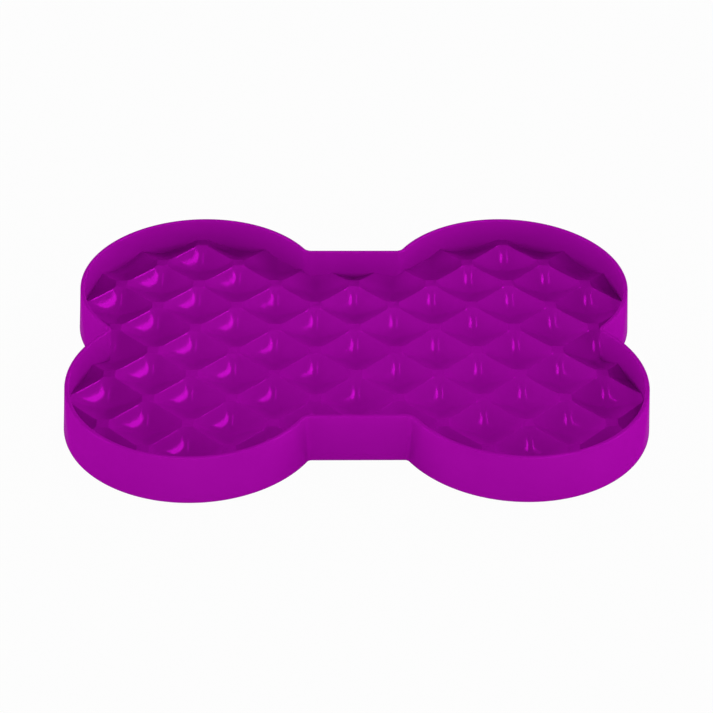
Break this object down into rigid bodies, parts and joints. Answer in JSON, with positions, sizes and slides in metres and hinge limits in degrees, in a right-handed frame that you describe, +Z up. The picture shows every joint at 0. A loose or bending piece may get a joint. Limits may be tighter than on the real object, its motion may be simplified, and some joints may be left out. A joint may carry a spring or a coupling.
{
  "type": "lick mat",
  "caption": "Bone-shaped lick mat: a walled plastic tray with a quilted floor of shallow bowls between flat-topped peaks, on plug-in rubber feet.",
  "frame": {"origin": "middle of the tray, on the surface that the feet stand on", "axes": "+X along the bone, +Y across it towards its rear edge, +Z up out of the tray"},
  "size_m": [0.295, 0.2214, 0.0263],
  "materials": {
    "purple_plastic": "glossy injection-moulded plastic, deep purple",
    "foot_rubber": "matt black soft rubber"
  },
  "bodies": {
    "root": {"tray": "purple_plastic", "foot_front_left": "foot_rubber", "foot_front_right": "foot_rubber", "foot_rear_left": "foot_rubber", "foot_rear_right": "foot_rubber"}
  },
  "joints": []
}
